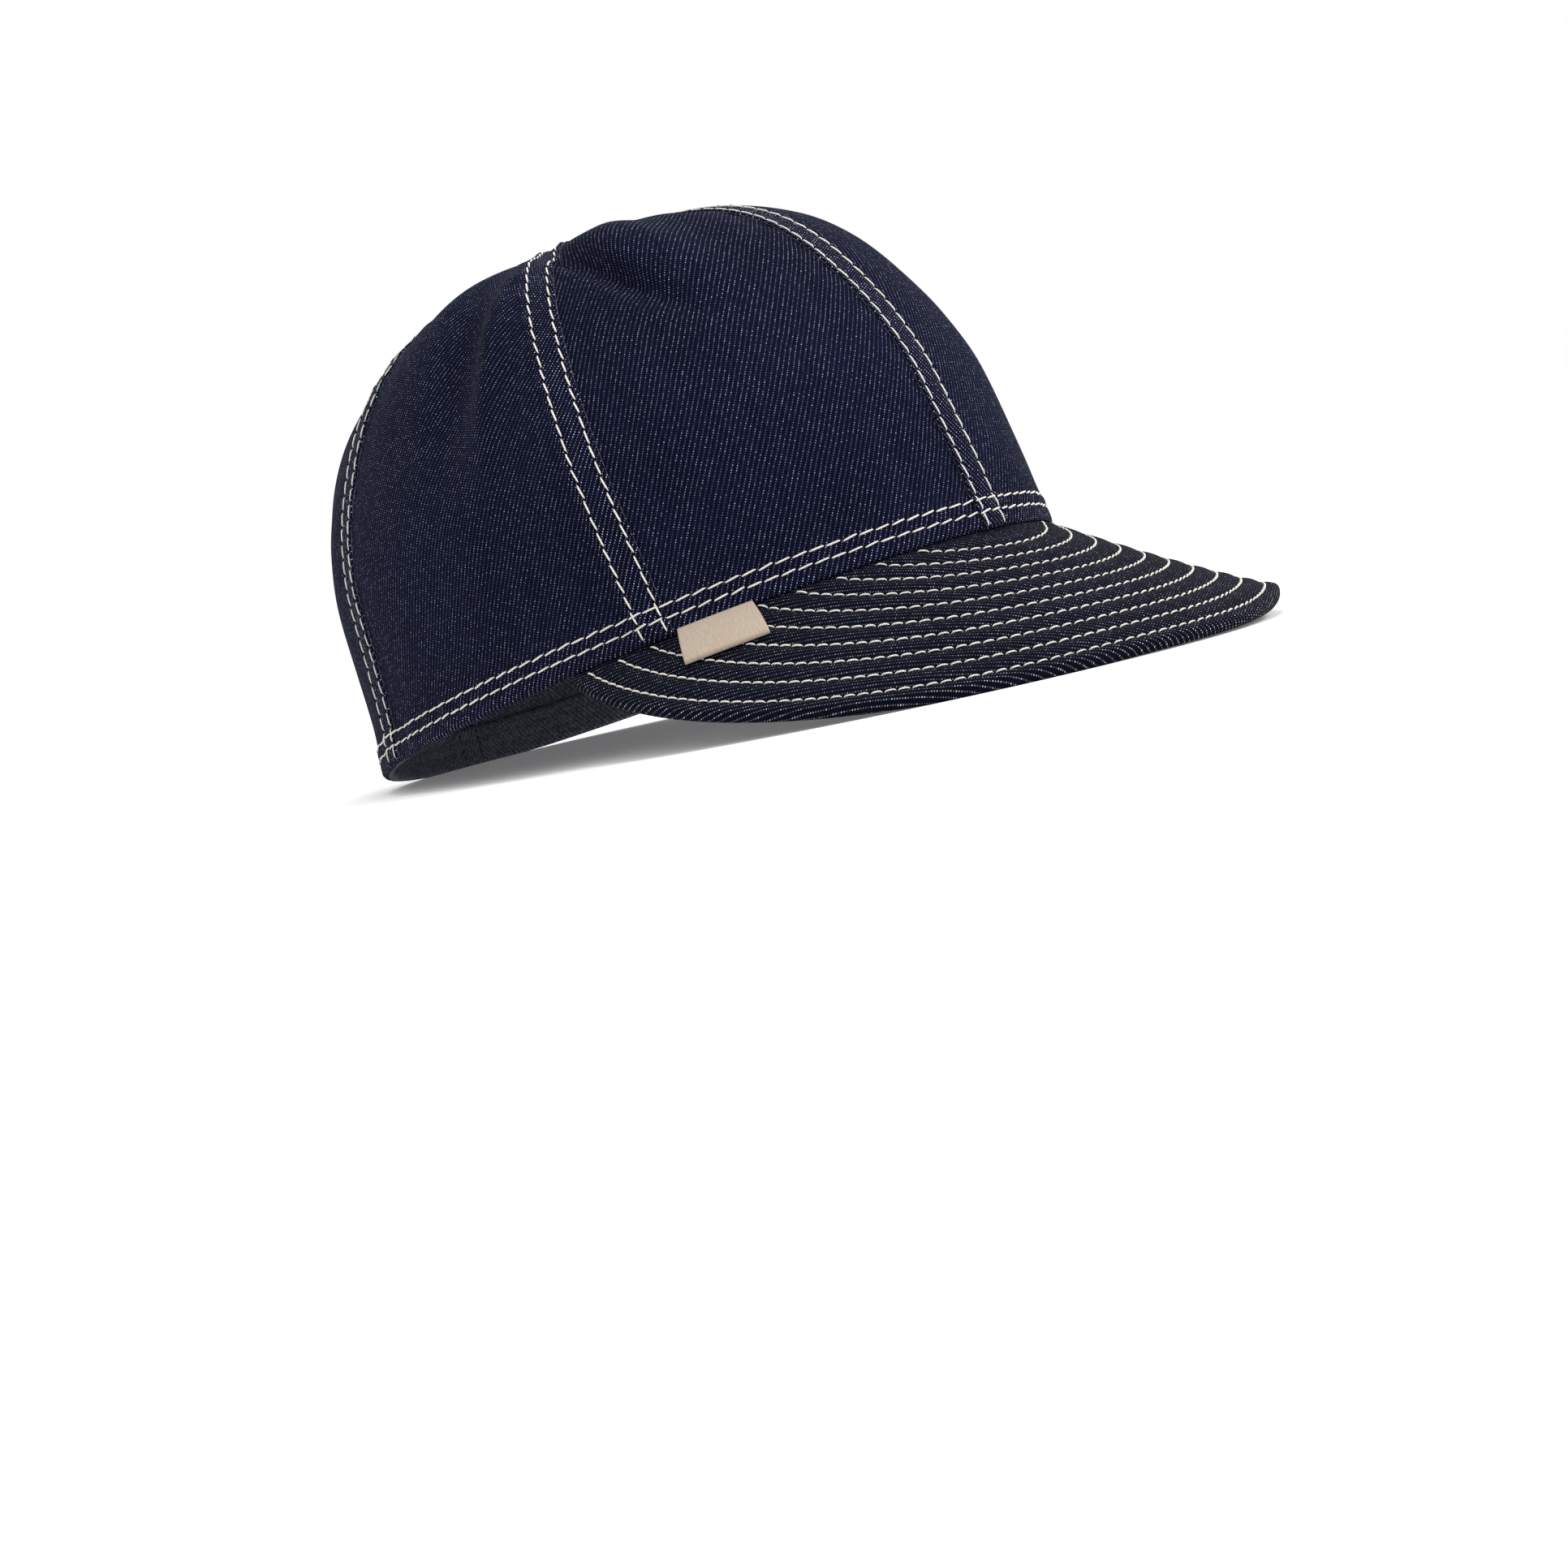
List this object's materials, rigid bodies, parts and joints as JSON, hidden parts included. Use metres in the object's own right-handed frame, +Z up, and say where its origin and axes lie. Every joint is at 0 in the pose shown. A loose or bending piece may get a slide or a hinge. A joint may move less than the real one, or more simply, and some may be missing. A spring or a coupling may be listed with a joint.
{
  "type": "six-panel denim work cap",
  "caption": "Soft six-panel denim cap with felled seams, a turned hem, a quilted downturned peak and a bare side tab.",
  "frame": {"origin": "middle of the cap's bounding box on the surface it rests on", "axes": "+Z up, the front of the cap and its peak point to -Y, the wearer's right is -X"},
  "size_m": [0.174, 0.2736, 0.1326],
  "materials": {
    "denim_crown": "raw indigo 3/1 twill denim, matt, pale weft specks",
    "denim_peak": "raw indigo 3/1 twill denim, matt, quilted in concentric rows",
    "tape_label": "plain woven cotton tape, matt",
    "thread": "twisted ivory cotton sewing thread, soft sheen"
  },
  "bodies": {
    "root": {"crown_panel_front_right": "denim_crown", "crown_panel_side_right": "denim_crown", "crown_panel_back_right": "denim_crown", "crown_panel_back_left": "denim_crown", "crown_panel_side_left": "denim_crown", "crown_panel_front_left": "denim_crown", "peak_top": "denim_peak", "peak_under": "denim_peak", "side_label": "tape_label"}
  },
  "joints": []
}
